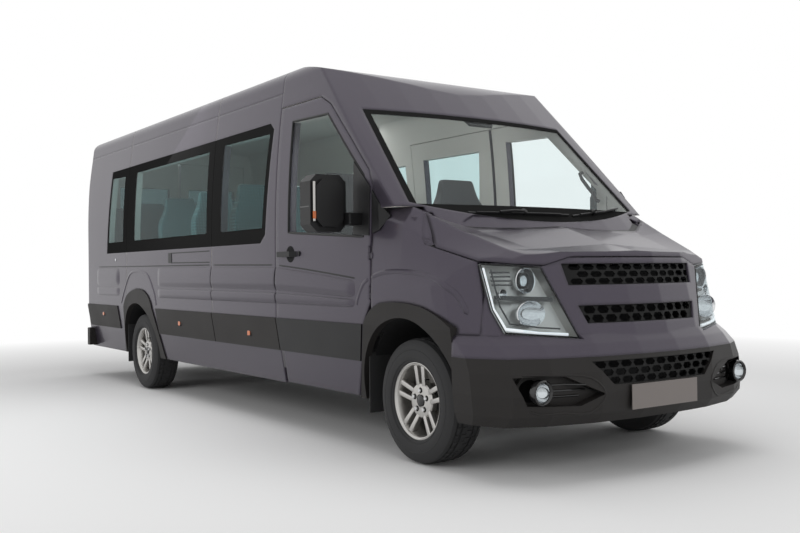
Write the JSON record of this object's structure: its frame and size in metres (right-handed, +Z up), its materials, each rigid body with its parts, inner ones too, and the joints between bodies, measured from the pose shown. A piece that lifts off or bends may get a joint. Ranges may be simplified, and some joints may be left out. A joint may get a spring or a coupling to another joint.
{
  "type": "minibus",
  "caption": "High-roof long-wheelbase minibus with glazed sides, hinged cab and rear doors, lifting bonnet, steered front wheels and full seating.",
  "frame": {"origin": "on the floor under the middle of the overall box", "axes": "+X forward, +Y to the vehicle's left, +Z up"},
  "size_m": [7.01, 2.706, 2.55],
  "materials": {
    "paint": "metallic",
    "cladding": "grained",
    "black_plastic": "satin",
    "clear_glass": "tinted",
    "band_glass": "dark tint",
    "lens": "clear",
    "red_lens": "gloss",
    "bright_lamp": "bright",
    "tyre": "matt",
    "alloy": "satin silver",
    "steel": "matt",
    "floor": "matt",
    "seat_cloth": "woven",
    "trim_plastic": "grained"
  },
  "bodies": {
    "body": {"side_wall_right": "paint", "side_wall_left": "paint", "sliding_door": "paint", "roof": "paint", "cab_shell": "paint", "windscreen": "clear_glass", "side_windows": "band_glass", "tail_lamps": "red_lens", "wings": "paint", "nose_panel": "paint", "front_bumper": "cladding", "lamp_lenses": "lens", "lamp_housings": "bright_lamp", "fog_lamps": "lens", "grille": "black_plastic", "scuttle": "black_plastic", "side_mouldings": "cladding", "rear_bumper": "cladding", "floor_pan": "floor", "wheelhouses": "floor", "sills": "floor", "bulkhead": "floor", "seat_frames": "steel", "chassis_frame": "steel", "front_suspension": "steel", "rear_axle": "steel", "engine": "steel", "exhaust": "steel", "fuel_tank": "black_plastic", "passenger_seats": "seat_cloth", "cab_seats": "seat_cloth", "dashboard": "trim_plastic"},
    "bonnet_lid": {"bonnet": "paint"},
    "front_door_right": {"door_right": "paint", "door_right_glass": "clear_glass", "door_right_trim": "black_plastic"},
    "front_door_left": {"door_left": "paint", "door_left_glass": "clear_glass", "door_left_trim": "black_plastic"},
    "back_door_right": {"rear_door_right": "paint", "rear_door_right_glass": "band_glass"},
    "back_door_left": {"rear_door_left": "paint", "rear_door_left_glass": "band_glass"},
    "steering_wheel_body": {"steering_wheel": "black_plastic"},
    "front_knuckle_right": {"knuckle_right": "steel"},
    "front_wheel_right": {"front_tyre_right": "tyre", "front_rim_right": "alloy"},
    "rear_wheel_right": {"rear_tyre_right": "tyre", "rear_rim_right": "alloy"},
    "front_knuckle_left": {"knuckle_left": "steel"},
    "front_wheel_left": {"front_tyre_left": "tyre", "front_rim_left": "alloy"},
    "rear_wheel_left": {"rear_tyre_left": "tyre", "rear_rim_left": "alloy"}
  },
  "joints": [
    {"name": "steer_right", "type": "hinge", "parent": "body", "child": "front_knuckle_right", "pos_m": [2.555, -0.775, 0.354], "axis": [0, 0, 1], "range_deg": [-35, 35]},
    {"name": "front_wheel_spin_right", "type": "hinge", "parent": "front_knuckle_right", "child": "front_wheel_right", "pos_m": [2.555, -0.8675, 0.354], "axis": [0, 1, 0], "continuous": true},
    {"name": "rear_wheel_spin_right", "type": "hinge", "parent": "body", "child": "rear_wheel_right", "pos_m": [-1.845, -0.8675, 0.354], "axis": [0, 1, 0], "continuous": true},
    {"name": "door_swing_right", "type": "hinge", "parent": "body", "child": "front_door_right", "pos_m": [2.19, -1.034, 1.08], "axis": [0, 0, 1], "range_deg": [0, 70]},
    {"name": "back_door_swing_right", "type": "hinge", "parent": "body", "child": "back_door_right", "pos_m": [-3.485, -0.803, 1.4], "axis": [0, 0, 1], "range_deg": [0, 180]},
    {"name": "steer_left", "type": "hinge", "parent": "body", "child": "front_knuckle_left", "pos_m": [2.555, 0.775, 0.354], "axis": [0, 0, 1], "range_deg": [-35, 35]},
    {"name": "front_wheel_spin_left", "type": "hinge", "parent": "front_knuckle_left", "child": "front_wheel_left", "pos_m": [2.555, 0.8675, 0.354], "axis": [0, 1, 0], "continuous": true},
    {"name": "rear_wheel_spin_left", "type": "hinge", "parent": "body", "child": "rear_wheel_left", "pos_m": [-1.845, 0.8675, 0.354], "axis": [0, 1, 0], "continuous": true},
    {"name": "door_swing_left", "type": "hinge", "parent": "body", "child": "front_door_left", "pos_m": [2.19, 1.034, 1.08], "axis": [0, 0, -1], "range_deg": [0, 70]},
    {"name": "back_door_swing_left", "type": "hinge", "parent": "body", "child": "back_door_left", "pos_m": [-3.485, 0.803, 1.4], "axis": [0, 0, -1], "range_deg": [0, 180]},
    {"name": "bonnet_lift", "type": "hinge", "parent": "body", "child": "bonnet_lid", "pos_m": [2.545, 0, 1.386], "axis": [0, -1, 0], "range_deg": [0, 50]},
    {"name": "steering_wheel_turn", "type": "hinge", "parent": "body", "child": "steering_wheel_body", "pos_m": [1.845, -0.52, 1.262], "axis": [-0.8829, 0, 0.4695], "range_deg": [-560, 560]}
  ],
  "couplings": [
    {"joint": "steer_left", "follows": "steer_right", "ratio": 1},
    {"joint": "steering_wheel_turn", "follows": "steer_right", "ratio": 16}
  ]
}
